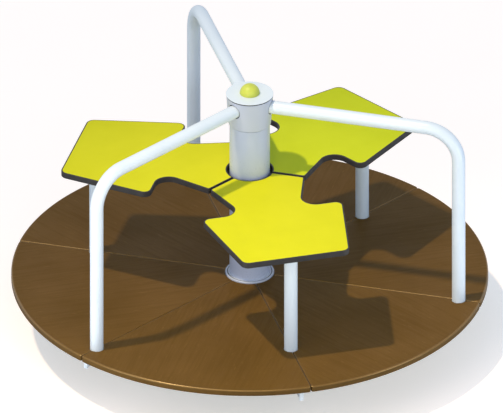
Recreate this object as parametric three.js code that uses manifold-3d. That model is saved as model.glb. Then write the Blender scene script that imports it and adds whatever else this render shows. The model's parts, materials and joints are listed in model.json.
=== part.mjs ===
// A playground merry-go-round: a round deck in six panels turns on a fixed spindle, and carries a central
// column, three bent handrails and three arrow-shaped seats. Millimetres, +Z up, origin on the spin axis at
// ground level.
import * as THREE from "three";
import { mergeVertices } from "three/addons/utils/BufferGeometryUtils.js";
import Module from "manifold-3d";

const wasm = await Module();
wasm.setup();

// ---- driving dimensions: a reach is a distance from the spin axis, and a shank or head is a radius ----
const GAP = 0.3; // between pieces that touch on the real object
const WELD = 1; // how far welded parts run into each other
const DECK = { radius: 750, top: 200, thick: 20, seam: 2, notchGap: 1.5 };
const TUBE = { radius: 21.2, wall: 3.2 };
const COLUMN = { radius: 63.5, wall: 4, bottom: 100, top: 740 };
const RAIL = { reach: 680, height: 808, bend: 106, inner: 38, steps: 8 };
const HEAD = { bottom: 740, top: 842, topRadius: 74, bottomRadius: 67, cavity: 35, spigot: 35.7, floor: 4 };
const TOP_PLATE = { radius: 75, thick: 5.2, hole: 17.5 };
const DOME = { radius: 31.5, stem: 14 };
const COLLAR = { radius: 76.5, above: 5, chamfer: 1.5 };
const ARM = { width: 50, height: 50, wall: 6, start: 66.5, end: 709 };
const BRACE = { distance: 400, height: 40, wall: 6, short: 4 };
const HUB_FLANGE = { radius: 150, thick: 8, sleeve: 72.5 };
const BASE = { radius: 180, thick: 12, boss: 55, bossTop: 84, anchorReach: 145, anchorHole: 9 };
const GUSSET = { reach: 152, toe: 8, top: 74, root: 6, slope: 4, wall: 8 };
const SEAT = { top: 571, thick: 19, post: 500, hole: 72, seam: 5, boltDepth: 15 };
const SEAT_HEAD = [
  [572, 172.3, 26],
  [265.5, 231, 24],
  [265.5, 94.2, 44],
]; // one side of a seat's arrow head: reach, half width and corner radius
const SEAT_FLANK = { reach: 179, rounding: 10 };
const SEAT_RING = { radius: 145, thick: 6, sleeve: 8, sleeveDrop: 24 };
const POST_PLATE = { radius: 60, thick: 6, bolts: 40 };
const FOOT_PLUG = { thick: 18 };
const M6 = { shank: 3, head: 5.8, headThick: 4, length: 20 };
const M8 = { shank: 4, head: 7.5, headThick: 5.5, length: 18 };
const M12 = { shank: 6, head: 11, headThick: 7.5, length: 22 };
const DECK_SCREW = { reach: 600, side: 12, depth: 16 };
const INNER_SEAT_BOLT = 115;
const SPINDLE = { shoulder: 37.5, shaft: 28, taper: 2, thread: 18, chamfer: 3, top: 760 };
const NUT = { collar: 31, collarThick: 3, hexagon: 30, height: 24 };
const LOWER_BEARING = { bore: 30, outer: 55, bottom: 96.3, total: 23.75, inner: 22, cup: 19 };
// Radius and height in the bearing.
const CONE_SIDE = [[42.5, 0], [42.5, 2.4], [38.8, 2.8], [34.6, 20], [36, 22]];
const CUP_MOUTH = { bottom: 51.9, top: 47.2 };
const ROLLER = { small: 5.3, large: 5.8, length: 14, tilt: 14, reach: 43.2, middle: 12, count: 12 };
const ROLLER_CAGE = [[44.4, 3.3], [46, 3.3], [43, 20.5], [41.4, 20.5]]; // radius, height in the bearing
const HOUSING = { top: 128, shoulder: 50 };
const SEAL = { bottom: 86, radius: 48, top: 95.5, throat: 47, lipRadius: 55, lipTop: 99, lipThick: 2 };
const UPPER_BEARING = { bore: 20, outer: 40, bottom: 708.3, width: 18 };
const GROOVE = { half: 4.5, innerFace: 25.8, innerFloor: 23.7, outerFace: 34.6, outerFloor: 36.6 };
const BALL = { radius: 5.7, reach: 30, count: 8 };
const BALL_CAGE = { halfWall: 1.5, halfHeight: 3.5 };

const RAIL_ANGLES = [-30, 90, 210];
const SEAT_ANGLES = [-90, 30, 150];
const SEAM_ANGLES = [-90, -30, 30, 90, 150, 210];
const PANEL_ANGLES = [-60, 0, 60, 120, 180, 240];

const ROUND = 32; // sides of a large circle
const HIDDEN_ROUND = 20; // sides of a circle that is out of sight
const TUBE_SIDES = 14;
const SMALL = 6; // sides of a bolt, its hole or a roller
const CORNER_STEP = 15; // degrees of a rounded corner for each of its points

const deckUnder = DECK.top - DECK.thick;
const armTop = deckUnder - GAP;
const legUnder = armTop - ARM.wall;
const armBottom = armTop - ARM.height;
const seatUnder = SEAT.top - SEAT.thick;
const plateTop = seatUnder - GAP;
const columnBore = COLUMN.radius - COLUMN.wall;
const radians = THREE.MathUtils.degToRad;

// ---- materials ----
function paint(color, roughness, metalness) {
  return new THREE.MeshStandardMaterial({ color, roughness, metalness });
}

const MATERIALS = {
  white: paint("#e3edf3", 0.35, 0.0),
  deck: paint("#7b5c31", 0.6, 0.0),
  seat: paint("#e6e12c", 0.45, 0.0),
  dome: paint("#d7df64", 0.4, 0.0),
  zinc: paint("#b4b8bc", 0.45, 0.9),
  steel: paint("#8f9499", 0.3, 1.0),
  rubber: paint("#232323", 0.8, 0.0),
};

// ---- solids ----
function solidOf(geometry) {
  const bare = (geometry.index ? geometry.toNonIndexed() : geometry.clone()).deleteAttribute("normal");
  const merged = mergeVertices(bare.deleteAttribute("uv"), 1e-3);
  const vertProperties = merged.attributes.position.array;
  const triVerts = new Uint32Array(merged.index.array);
  return new wasm.Manifold(new wasm.Mesh({ numProp: 3, vertProperties, triVerts }));
}

function geometryOf(solid) {
  const mesh = solid.getMesh();
  const geometry = new THREE.BufferGeometry();
  geometry.setAttribute("position", new THREE.BufferAttribute(mesh.vertProperties, 3));
  geometry.setIndex(new THREE.BufferAttribute(mesh.triVerts, 1));
  geometry.computeVertexNormals();
  return geometry;
}

const join = (geometries) => geometries.map(solidOf).reduce((sum, next) => sum.add(next));
const cut = (solid, tools) => tools.map(solidOf).reduce((left, tool) => left.subtract(tool), solid);
const turned = (geometry, degrees) => geometry.clone().rotateZ(radians(degrees));

// An outline of [radius, height] points that runs upwards from the axis and back to it, turned about Z.
function solidLathe(outline, sides) {
  const points = outline.map(([r, z]) => new THREE.Vector2(r, z));
  return new THREE.LatheGeometry(points, sides).rotateX(Math.PI / 2);
}

// The same for a closed outline, listed anticlockwise, that stays clear of the axis.
const lathe = (outline, sides = ROUND) => solidLathe([...outline, outline[0]], sides);

function ring(inner, outer, z0, z1, sides = ROUND) {
  return lathe([[inner, z0], [outer, z0], [outer, z1], [inner, z1]], sides);
}

function disc(radius, z0, z1, sides = ROUND) {
  const turn = new THREE.CylinderGeometry(radius, radius, z1 - z0, sides).rotateX(Math.PI / 2);
  return turn.translate(0, 0, (z0 + z1) / 2);
}

const pinAt = (x, y, radius, z0, z1, sides = SMALL) => disc(radius, z0, z1, sides).translate(x, y, 0);

function box(x0, x1, y0, y1, z0, z1) {
  const block = new THREE.BoxGeometry(x1 - x0, y1 - y0, z1 - z0);
  return block.translate((x0 + x1) / 2, (y0 + y1) / 2, (z0 + z1) / 2);
}

function extrude(shape, z0, z1) {
  return new THREE.ExtrudeGeometry(shape, { depth: z1 - z0, bevelEnabled: false }).translate(0, 0, z0);
}

// Points along a polygon whose corners [x, y, radius] are rounded.
function roundCorners(corners) {
  const points = [];
  corners.forEach(([x, y, radius], i) => {
    const here = new THREE.Vector2(x, y);
    if (!radius) {
      points.push(here);
      return;
    }
    const [px, py] = corners.at(i - 1);
    const [nx, ny] = corners[(i + 1) % corners.length];
    const back = new THREE.Vector2(px, py).sub(here).normalize();
    const ahead = new THREE.Vector2(nx, ny).sub(here).normalize();
    const half = Math.acos(back.dot(ahead)) / 2;
    const middle = back.clone().add(ahead).normalize().multiplyScalar(radius / Math.sin(half)).add(here);
    const from = back.multiplyScalar(radius / Math.tan(half)).add(here).sub(middle);
    const to = ahead.multiplyScalar(radius / Math.tan(half)).add(here).sub(middle);
    const sweep = Math.atan2(from.cross(to), from.dot(to));
    const steps = Math.max(2, Math.round(Math.abs(sweep) / radians(CORNER_STEP)));
    for (let k = 0; k <= steps; k++) {
      points.push(from.clone().rotateAround(new THREE.Vector2(), (sweep * k) / steps).add(middle));
    }
  });
  return points;
}

// An arc about the origin from one angle to another, in degrees, as [x, y, 0] corners.
function arcCorners(radius, from, to, steps) {
  return Array.from({ length: steps + 1 }, (_, k) => {
    const a = radians(from + ((to - from) * k) / steps);
    return [radius * Math.cos(a), radius * Math.sin(a), 0];
  });
}

// ---- deck ----
// The sideways clearance of half a seam takes this many degrees off an arc of that radius.
const seamDegrees = (halfSeam, radius) => THREE.MathUtils.radToDeg(Math.asin(halfSeam / radius));

// One 60 degree panel, centred on +X. The handrail's notch is at +30 degrees and the seat post's at -30, or
// mirrored.
function deckPanel(railSide) {
  const inner = COLLAR.radius + 3 * GAP;
  const half = DECK.seam / 2;
  const notch = TUBE.radius + DECK.notchGap;
  const screwTop = deckUnder + DECK_SCREW.depth;
  const outerEnd = 30 - seamDegrees(half, DECK.radius);
  const innerEnd = 30 - seamDegrees(half, inner);
  const outline = [
    ...arcCorners(DECK.radius, -outerEnd, outerEnd, 20),
    ...arcCorners(inner, innerEnd, -innerEnd, 6),
  ];
  const shape = new THREE.Shape(roundCorners(outline));
  const holes = [
    turned(pinAt(RAIL.reach, 0, notch, 0, SEAT.top, TUBE_SIDES), 30 * railSide),
    turned(pinAt(SEAT.post, 0, notch, 0, SEAT.top, TUBE_SIDES), -30 * railSide),
    ...[-1, 1].map((side) =>
      turned(pinAt(DECK_SCREW.reach, -side * DECK_SCREW.side, M6.shank + GAP, 0, screwTop), 30 * side),
    ),
  ];
  return geometryOf(cut(solidOf(extrude(shape, deckUnder, DECK.top)), holes));
}

// Six angle-section arms under the seams, a hexagon of braces and a flanged sleeve, welded into one frame.
function deckFrame() {
  const side = ARM.width / 2;
  const bore = COLUMN.radius + GAP;
  const arm = join([
    box(ARM.start, ARM.end, -side, side, legUnder, armTop),
    box(ARM.start, ARM.end, -side, -side + ARM.wall, armBottom, armTop),
  ]);
  const chord = BRACE.distance * Math.tan(radians(30)) - BRACE.short;
  const braceOuter = BRACE.distance + BRACE.wall;
  const brace = box(BRACE.distance, braceOuter, -chord, chord, armTop - BRACE.height, armTop);
  const pieces = [
    ...SEAM_ANGLES.map((a) => turned(geometryOf(arm), a)),
    ...PANEL_ANGLES.map((a) => turned(brace, a)),
    ring(bore, HUB_FLANGE.sleeve, armBottom - WELD, armTop),
    ring(bore, HUB_FLANGE.radius, armBottom - HUB_FLANGE.thick, armBottom + WELD / 2),
  ];
  const bolt = (reach, size, y = 0) => pinAt(reach, y, size.shank + GAP, armBottom, SEAT.top);
  const holes = [
    ...SEAM_ANGLES.map((a) => turned(bolt(DECK_SCREW.reach, M6, -DECK_SCREW.side), a)),
    ...SEAM_ANGLES.map((a) => turned(bolt(DECK_SCREW.reach, M6, DECK_SCREW.side), a)),
    ...RAIL_ANGLES.map((a) => turned(bolt(RAIL.reach, M12), a)),
    ...SEAT_ANGLES.map((a) => turned(bolt(SEAT.post, M12), a)),
  ];
  return geometryOf(cut(join(pieces), holes));
}

// ---- column and head ----
const columnTube = () => ring(columnBore, COLUMN.radius, COLUMN.bottom, COLUMN.top - GAP);

// The collar stands on the deck frame in the deck's round opening, and its top edge is chamfered.
function deckCollar() {
  const bore = COLUMN.radius + GAP;
  const top = DECK.top + COLLAR.above;
  return lathe([
    [bore, deckUnder],
    [COLLAR.radius, deckUnder],
    [COLLAR.radius, top - COLLAR.chamfer],
    [COLLAR.radius - COLLAR.chamfer, top],
    [bore, top],
  ]);
}

// A tapered head with a spigot inside the column that seats the upper bearing, and three radial sockets.
function hubHead() {
  const spigot = columnBore - GAP;
  const spigotBottom = HEAD.bottom - HEAD.spigot;
  const seatRadius = UPPER_BEARING.outer + GAP;
  const seatTop = UPPER_BEARING.bottom + UPPER_BEARING.width + GAP;
  const body = lathe([
    [seatRadius, spigotBottom],
    [spigot, spigotBottom],
    [spigot, HEAD.bottom],
    [HEAD.bottomRadius, HEAD.bottom],
    [HEAD.topRadius, HEAD.top],
    [HEAD.cavity, HEAD.top],
    [HEAD.cavity, seatTop],
    [seatRadius, seatTop],
  ]);
  const socket = disc(TUBE.radius + GAP, RAIL.inner, RAIL.reach, TUBE_SIDES)
    .rotateY(Math.PI / 2)
    .translate(0, 0, RAIL.height);
  return geometryOf(cut(solidOf(body), RAIL_ANGLES.map((a) => turned(socket, a))));
}

function topPlate() {
  const bottom = HEAD.top + GAP;
  return ring(TOP_PLATE.hole, TOP_PLATE.radius, bottom, bottom + TOP_PLATE.thick);
}

// A half ball with a stem that plugs into the top plate.
function domeCap() {
  const foot = HEAD.top + TOP_PLATE.thick + 2 * GAP;
  const stem = TOP_PLATE.hole - GAP;
  const arc = arcCorners(DOME.radius, 0, 72, 4).map(([r, height]) => [r, foot + height]);
  const top = [0, foot + DOME.radius];
  return solidLathe([[0, foot - DOME.stem], [stem, foot - DOME.stem], [stem, foot], ...arc, top], ROUND);
}

// ---- handrails and seats ----
// A leg that rises from the deck's underside, turns through the bend and runs inwards to the hub head.
// Its first and last steps are straight, and the steps between them share the bend.
class RailPath extends THREE.Curve {
  turnAt(t) {
    const share = (t * RAIL.steps - 1) / (RAIL.steps - 2);
    return THREE.MathUtils.clamp(share, 0, 1) * (Math.PI / 2);
  }
  getPointAt(t) {
    const turn = this.turnAt(t);
    const below = Math.max(1 - t * RAIL.steps, 0);
    const beyond = Math.max(t * RAIL.steps - RAIL.steps + 1, 0);
    const rise = RAIL.height - RAIL.bend - deckUnder;
    const run = RAIL.reach - RAIL.bend - RAIL.inner - GAP;
    const x = RAIL.reach - RAIL.bend * (1 - Math.cos(turn)) - beyond * run;
    const z = RAIL.height - RAIL.bend * (1 - Math.sin(turn)) - below * rise;
    return new THREE.Vector3(x, 0, z);
  }
  getTangentAt(t) {
    const turn = this.turnAt(t);
    return new THREE.Vector3(-Math.sin(turn), 0, Math.cos(turn));
  }
}

function tubeSection() {
  const circle = (radius) =>
    arcCorners(radius, 0, 360, TUBE_SIDES)
      .slice(1)
      .map(([x, y]) => new THREE.Vector2(x, y));
  const shape = new THREE.Shape(circle(TUBE.radius));
  shape.holes.push(new THREE.Path(circle(TUBE.radius - TUBE.wall)));
  return shape;
}

// The welded plug that takes the bolt in the foot of a tube.
function footPlug(reach) {
  const outer = TUBE.radius - TUBE.wall / 2;
  const plug = ring(M12.shank + GAP, outer, deckUnder, deckUnder + FOOT_PLUG.thick, TUBE_SIDES);
  return plug.translate(reach, 0, 0);
}

function handrail() {
  const tube = new THREE.ExtrudeGeometry(tubeSection(), { steps: RAIL.steps, extrudePath: new RailPath() });
  return geometryOf(join([tube, footPlug(RAIL.reach)]));
}

function seatPost() {
  const plateUnder = plateTop - POST_PLATE.thick;
  const plate = disc(POST_PLATE.radius, plateUnder, plateTop, HIDDEN_ROUND);
  const tube = ring(TUBE.radius - TUBE.wall, TUBE.radius, deckUnder, plateUnder + WELD, TUBE_SIDES);
  const post = join([...[plate, tube].map((part) => part.translate(SEAT.post, 0, 0)), footPlug(SEAT.post)]);
  const hole = (y) => pinAt(SEAT.post, y, M8.shank + GAP, deckUnder, SEAT.top);
  return geometryOf(cut(post, [hole(-POST_PLATE.bolts), hole(POST_PLATE.bolts)]));
}

// The panel's outline: a wide arrow head outside, a waist, and flanks that meet the next seat on the
// 60 degree rays.
function seatOutline() {
  const { reach, rounding } = SEAT_FLANK;
  const innerEnd = 60 - seamDegrees(SEAT.seam / 2, SEAT.hole);
  const flankEnd = radians(60 - seamDegrees(SEAT.seam / 2, reach));
  const side = [...SEAT_HEAD, [reach * Math.cos(flankEnd), reach * Math.sin(flankEnd), rounding]];
  const mirrored = side.map(([x, y, r]) => [x, -y, r]).reverse();
  return roundCorners([...side, ...arcCorners(SEAT.hole, innerEnd, -innerEnd, 10), ...mirrored]);
}

function seatPanel() {
  const blank = solidOf(extrude(new THREE.Shape(seatOutline()), seatUnder, SEAT.top));
  const hole = (reach, y) => pinAt(reach, y, M8.shank + GAP, 0, seatUnder + SEAT.boltDepth);
  const holes = [
    hole(INNER_SEAT_BOLT, 0),
    hole(SEAT.post, -POST_PLATE.bolts),
    hole(SEAT.post, POST_PLATE.bolts),
  ];
  return geometryOf(cut(blank, holes));
}

// The flange on the column that carries the inner ends of the three seats.
function seatRing() {
  const bore = COLUMN.radius + GAP;
  const sleeve = bore + SEAT_RING.sleeve;
  const body = lathe([
    [bore, plateTop - SEAT_RING.sleeveDrop],
    [sleeve, plateTop - SEAT_RING.sleeveDrop],
    [sleeve, plateTop - SEAT_RING.thick],
    [SEAT_RING.radius, plateTop - SEAT_RING.thick],
    [SEAT_RING.radius, plateTop],
    [bore, plateTop],
  ]);
  const holes = SEAT_ANGLES.map((a) => turned(pinAt(INNER_SEAT_BOLT, 0, M8.shank + GAP, 0, SEAT.top), a));
  return geometryOf(cut(solidOf(body), holes));
}

// A hexagon-head bolt that points up, its head bearing from below on a face at the given height.
function bolt(size, face) {
  const headTop = face - GAP;
  const head = disc(size.head, headTop - size.headThick, headTop, SMALL);
  const shank = disc(size.shank, headTop - WELD, headTop + size.length, SMALL);
  return join([head, shank]);
}

// ---- ground base, spindle and bearings ----
function groundBase() {
  const root = BASE.boss - GUSSET.root;
  const foot = BASE.thick - WELD;
  const outline = [
    [root, foot],
    [GUSSET.reach, foot],
    [GUSSET.reach, BASE.thick + GUSSET.toe],
    [BASE.boss + GUSSET.slope, GUSSET.top],
    [root, GUSSET.top],
  ];
  const gusset = new THREE.Shape(outline.map(([x, z]) => new THREE.Vector2(x, z)));
  const wing = extrude(gusset, -GUSSET.wall / 2, GUSSET.wall / 2).rotateX(Math.PI / 2);
  const body = join([
    disc(BASE.radius, 0, BASE.thick),
    ring(LOWER_BEARING.bore + GAP, BASE.boss, foot, BASE.bossTop),
    ...[0, 90, 180, 270].map((a) => turned(wing, a)),
  ]);
  const anchor = pinAt(BASE.anchorReach, 0, BASE.anchorHole, -WELD, BASE.bossTop);
  return geometryOf(cut(body, [45, 135, 225, 315].map((a) => turned(anchor, a))));
}

const lowerTop = LOWER_BEARING.bottom + LOWER_BEARING.total;
const upperTop = UPPER_BEARING.bottom + UPPER_BEARING.width;
const upperMiddle = UPPER_BEARING.bottom + UPPER_BEARING.width / 2;

// The spindle stands in the base's boss, carries the lower bearing on a shoulder and ends in a thread.
function spindle() {
  const lowerSeat = LOWER_BEARING.bore - GAP / 2;
  const upperSeat = UPPER_BEARING.bore - GAP / 2;
  const shoulderTop = LOWER_BEARING.bottom - GAP;
  const outline = [
    [0, BASE.thick + GAP],
    [lowerSeat, BASE.thick + GAP],
    [lowerSeat, BASE.bossTop + GAP],
    [SPINDLE.shoulder, BASE.bossTop + GAP],
    [SPINDLE.shoulder, shoulderTop],
    [lowerSeat, shoulderTop],
    [lowerSeat, lowerTop],
    [SPINDLE.shaft, lowerTop + SPINDLE.taper],
    [SPINDLE.shaft, UPPER_BEARING.bottom - GAP],
    [upperSeat, UPPER_BEARING.bottom - GAP],
    [upperSeat, upperTop - SPINDLE.taper / 2],
    [SPINDLE.thread, upperTop],
    [SPINDLE.thread, SPINDLE.top - SPINDLE.chamfer],
    [SPINDLE.thread - SPINDLE.chamfer, SPINDLE.top],
    [0, SPINDLE.top],
  ];
  return solidLathe(outline, HIDDEN_ROUND);
}

function spindleNut() {
  const foot = upperTop + GAP;
  const body = join([
    disc(NUT.collar, foot, foot + NUT.collarThick, HIDDEN_ROUND),
    disc(NUT.hexagon, foot + NUT.collarThick - WELD, foot + NUT.height, 6),
  ]);
  const thread = disc(SPINDLE.thread + GAP, UPPER_BEARING.bottom, HEAD.top, HIDDEN_ROUND);
  return geometryOf(cut(body, [thread]));
}

// A wiper seal held on the spindle's shoulder, with a lip that leans up towards the turning housing.
function dustSeal() {
  const bore = SPINDLE.shoulder + GAP;
  const outline = [
    [bore, SEAL.bottom],
    [SEAL.radius, SEAL.bottom],
    [SEAL.lipRadius, SEAL.lipTop - WELD],
    [SEAL.lipRadius - SEAL.lipThick, SEAL.lipTop],
    [SEAL.throat, SEAL.top],
    [bore, SEAL.top],
  ];
  return lathe(outline, HIDDEN_ROUND);
}

// The lower bearing is a tapered roller bearing, whose raceways widen downwards to carry the deck's weight.
const overLowerBottom = ([radius, height]) => [radius, LOWER_BEARING.bottom + height];

function lowerHousing() {
  const outer = columnBore - GAP;
  const seat = LOWER_BEARING.outer + 2 * GAP;
  return lathe([
    [seat, COLUMN.bottom],
    [outer, COLUMN.bottom],
    [outer, HOUSING.top],
    [HOUSING.shoulder, HOUSING.top],
    [HOUSING.shoulder, lowerTop + GAP],
    [seat, lowerTop + GAP],
  ]);
}

function lowerBearingInner() {
  const { bore, inner } = LOWER_BEARING;
  return lathe([[bore, 0], ...CONE_SIDE, [bore, inner]].map(overLowerBottom), HIDDEN_ROUND);
}

function lowerBearingOuter() {
  const bottom = lowerTop - LOWER_BEARING.cup;
  const outline = [
    [CUP_MOUTH.bottom, bottom],
    [LOWER_BEARING.outer, bottom],
    [LOWER_BEARING.outer, lowerTop],
    [CUP_MOUTH.top, lowerTop],
  ];
  return lathe(outline, HIDDEN_ROUND);
}

// A bearing cage joined to its balls or rollers, which are copies of one, evenly spaced round the axis.
function cageOf(cage, roller, count) {
  const rollers = Array.from({ length: count }, (_, k) => turned(roller, (360 * k) / count));
  return geometryOf(join([cage, ...rollers]));
}

function lowerBearingCage() {
  const roller = new THREE.CylinderGeometry(ROLLER.small, ROLLER.large, ROLLER.length, SMALL)
    .rotateX(Math.PI / 2)
    .rotateY(-radians(ROLLER.tilt))
    .translate(ROLLER.reach, 0, LOWER_BEARING.bottom + ROLLER.middle);
  return cageOf(lathe(ROLLER_CAGE.map(overLowerBottom), HIDDEN_ROUND), roller, ROLLER.count);
}

// The upper bearing is a deep-groove ball bearing. Both rings have a shallow groove that the balls run in.
function grooveSide(wall, face, floor) {
  return [
    [wall, UPPER_BEARING.bottom],
    [face, UPPER_BEARING.bottom],
    [face, upperMiddle - GROOVE.half],
    [floor, upperMiddle],
    [face, upperMiddle + GROOVE.half],
    [face, upperTop],
    [wall, upperTop],
  ];
}

function upperBearingInner() {
  return lathe(grooveSide(UPPER_BEARING.bore, GROOVE.innerFace, GROOVE.innerFloor), HIDDEN_ROUND);
}

function upperBearingOuter() {
  const side = grooveSide(UPPER_BEARING.outer, GROOVE.outerFace, GROOVE.outerFloor);
  return lathe(side.reverse(), HIDDEN_ROUND);
}

function upperBearingCage() {
  const { halfWall, halfHeight } = BALL_CAGE;
  const bottom = upperMiddle - halfHeight;
  const top = upperMiddle + halfHeight;
  const cage = ring(BALL.reach - halfWall, BALL.reach + halfWall, bottom, top, HIDDEN_ROUND);
  const ball = new THREE.SphereGeometry(BALL.radius, 8, 5).translate(BALL.reach, 0, upperMiddle);
  return cageOf(cage, ball, BALL.count);
}

// ---- assembly ----
const assembly = new THREE.Group();

function place(parent, name, geometry, material, degrees = 0) {
  const mesh = new THREE.Mesh(geometry, MATERIALS[material]);
  mesh.name = name;
  mesh.rotation.z = radians(degrees);
  parent.add(mesh);
  return mesh;
}

function placeRound(parent, stem, geometry, material, angles) {
  angles.forEach((angle, i) => place(parent, `${stem}_${i + 1}`, geometry, material, angle));
}

// Bolts of one size at the same reach and height, at each of the sideways offsets on every spoke.
function placeBolts(parent, stem, size, face, reach, angles, sides = [0]) {
  const geometry = geometryOf(bolt(size, face));
  angles.forEach((angle, i) => {
    const spoke = new THREE.Group();
    spoke.rotation.z = radians(angle);
    parent.add(spoke);
    sides.forEach((side, k) => {
      place(spoke, `${stem}_${i * sides.length + k + 1}`, geometry, "zinc").position.set(reach, side, 0);
    });
  });
}

const fixed = new THREE.Group();
assembly.add(fixed);
place(fixed, "ground_base", groundBase(), "zinc");
place(fixed, "spindle", spindle(), "steel");
place(fixed, "spindle_nut", spindleNut(), "zinc");
place(fixed, "dust_seal", dustSeal(), "rubber");
place(fixed, "lower_bearing_inner", lowerBearingInner(), "steel");
place(fixed, "upper_bearing_inner", upperBearingInner(), "steel");

const cages = new THREE.Group();
assembly.add(cages);
place(cages, "lower_bearing_cage", lowerBearingCage(), "steel");
place(cages, "upper_bearing_cage", upperBearingCage(), "steel");

const rotor = new THREE.Group();
assembly.add(rotor);
place(rotor, "hub_column", columnTube(), "white");
place(rotor, "hub_head", hubHead(), "white");
place(rotor, "top_plate", topPlate(), "white");
place(rotor, "dome_cap", domeCap(), "dome");
place(rotor, "deck_collar", deckCollar(), "white");
place(rotor, "lower_bearing_housing", lowerHousing(), "steel");
place(rotor, "lower_bearing_outer", lowerBearingOuter(), "steel");
place(rotor, "upper_bearing_outer", upperBearingOuter(), "steel");
place(rotor, "deck_frame", deckFrame(), "white");
place(rotor, "seat_ring", seatRing(), "white");
const panels = [deckPanel(1), deckPanel(-1)];
PANEL_ANGLES.forEach((angle, i) => place(rotor, `deck_panel_${i + 1}`, panels[i % 2], "deck", angle));
placeRound(rotor, "handrail", handrail(), "white", RAIL_ANGLES);
placeRound(rotor, "seat_post", seatPost(), "white", SEAT_ANGLES);
placeRound(rotor, "seat_panel", seatPanel(), "seat", SEAT_ANGLES);
placeBolts(rotor, "handrail_bolt", M12, legUnder, RAIL.reach, RAIL_ANGLES);
placeBolts(rotor, "seat_post_bolt", M12, legUnder, SEAT.post, SEAT_ANGLES);
placeBolts(rotor, "seat_bolt_outer", M8, plateTop - POST_PLATE.thick, SEAT.post, SEAT_ANGLES, [
  -POST_PLATE.bolts,
  POST_PLATE.bolts,
]);
placeBolts(rotor, "seat_bolt_inner", M8, plateTop - SEAT_RING.thick, INNER_SEAT_BOLT, SEAT_ANGLES);
placeBolts(rotor, "deck_screw", M6, legUnder, DECK_SCREW.reach, SEAM_ANGLES, [
  -DECK_SCREW.side,
  DECK_SCREW.side,
]);

export default assembly;
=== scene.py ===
import json
import math

import bmesh
import bpy
from mathutils import Matrix, Vector


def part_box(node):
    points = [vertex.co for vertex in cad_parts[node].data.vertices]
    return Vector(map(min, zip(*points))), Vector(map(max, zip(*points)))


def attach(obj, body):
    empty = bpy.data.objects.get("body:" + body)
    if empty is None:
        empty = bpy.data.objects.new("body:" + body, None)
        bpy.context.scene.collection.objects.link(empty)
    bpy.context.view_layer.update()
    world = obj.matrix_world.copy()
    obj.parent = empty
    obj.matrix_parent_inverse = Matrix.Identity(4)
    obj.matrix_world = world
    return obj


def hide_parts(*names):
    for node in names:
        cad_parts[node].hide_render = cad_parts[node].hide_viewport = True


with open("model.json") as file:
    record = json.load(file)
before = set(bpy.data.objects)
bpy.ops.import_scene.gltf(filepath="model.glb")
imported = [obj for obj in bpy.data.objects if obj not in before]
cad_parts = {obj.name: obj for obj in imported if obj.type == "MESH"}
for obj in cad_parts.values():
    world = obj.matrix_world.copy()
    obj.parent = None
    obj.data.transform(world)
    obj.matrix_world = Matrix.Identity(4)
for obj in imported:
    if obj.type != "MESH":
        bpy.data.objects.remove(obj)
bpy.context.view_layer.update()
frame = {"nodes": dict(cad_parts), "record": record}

# ---- sizes, in metres, beside those that the frame gives ----
MM = 0.001
DECK_LOW, DECK_HIGH = (corner.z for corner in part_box("deck_panel_2"))
DECK_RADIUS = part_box("deck_panel_2")[1].x
COLUMN_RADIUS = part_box("hub_column")[1].x
FRAME_LOW, FRAME_HIGH = (corner.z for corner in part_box("deck_frame"))
SEAT_LOW, SEAT_HIGH = (corner.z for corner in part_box("seat_panel_1"))
RAIL_REACH = sum(corner.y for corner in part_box("handrail_bolt_2")) / 2
POST_REACH = -sum(corner.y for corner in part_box("seat_post_bolt_1")) / 2
GAP = 0.3 * MM  # between parts that fit into each other
TUBE_RADIUS = 21.2 * MM
RAIL_HEIGHT = DECK_HIGH + 608 * MM
RAIL_BEND = 106 * MM
RAIL_INNER = 38.5 * MM
SOCKET_GAP = 2.8 * MM  # round a handrail in the head
HALF_SEAM = 1 * MM
NOTCH_GAP = 1.2 * MM  # round a tube in the deck
RIM_ROUNDING = 4.5 * MM
RIM_CORNER = 7 * MM
BOARD_ARRIS = 2.2 * MM
BOARD_FOOT = 0.8 * MM
BORE_GAP = 0.9 * MM  # between the deck boards and the collar
SEAT_ROUNDING = 4.2 * MM
SEAT_FOOT = 1.8 * MM
ARM_END = 709 * MM
ARM_WIDTH = 50 * MM
ARM_WALL = 6 * MM
BRACE_REACH = 400 * MM

# ---- fineness of the meshes ----
ROUND = 96  # sides of a large circle
TUBE_SIDES = 48
BOARD_STEPS = 6  # faces across a rounded edge of a deck board
SMOOTH_ANGLE = math.radians(35)  # a sharper edge than this shows as a crease
BEVEL_ANGLE = math.radians(40)  # a sharper edge than this is bevelled, where a piece asks for it
FINE_STEP, RIM_STEP = math.radians(7.5), math.radians(10)  # turns between the points of a curve
MIDDLE_STEP, COARSE_STEP = math.radians(15), math.radians(22.5)

# ---- view and light ----
VIEW_AZIMUTH, VIEW_ELEVATION = math.radians(-15), math.radians(30)
CAMERA_RIGHT = Vector((math.cos(VIEW_AZIMUTH), math.sin(VIEW_AZIMUTH), 0))
CAMERA_AHEAD = Vector((-math.sin(VIEW_AZIMUTH), math.cos(VIEW_AZIMUTH), 0))
FRAME_WIDTH, CAMERA_DISTANCE = 1.5813, 6
FRAME_SHIFT = (5.66 * MM, 204.3 * MM)  # from the deck's centre to the picture's, to the right and up
SUNLIGHT = (1.0, 0.86, 0.60)
SUN_DRIFT = (0.38, 0.12)  # how far sunlight goes right and ahead for each metre that it falls
SUN_STRENGTH, SUN_SPREAD = 1.03, math.radians(1.4)
POOL_STRENGTH, POOL_REACH, POOL_RADIUS = 0.42, 30, 1.6
POOL_PLACE = (0.28, -0.60)  # to the right and ahead
SKY, SKY_SEEN = (0.31, 0.42, 0.565, 1.0), (1.2, 1.2, 1.2, 1.0)
SKY_IN_REFLECTIONS = 0.6  # how far reflections go from the sky that lights to the one that is seen
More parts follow.
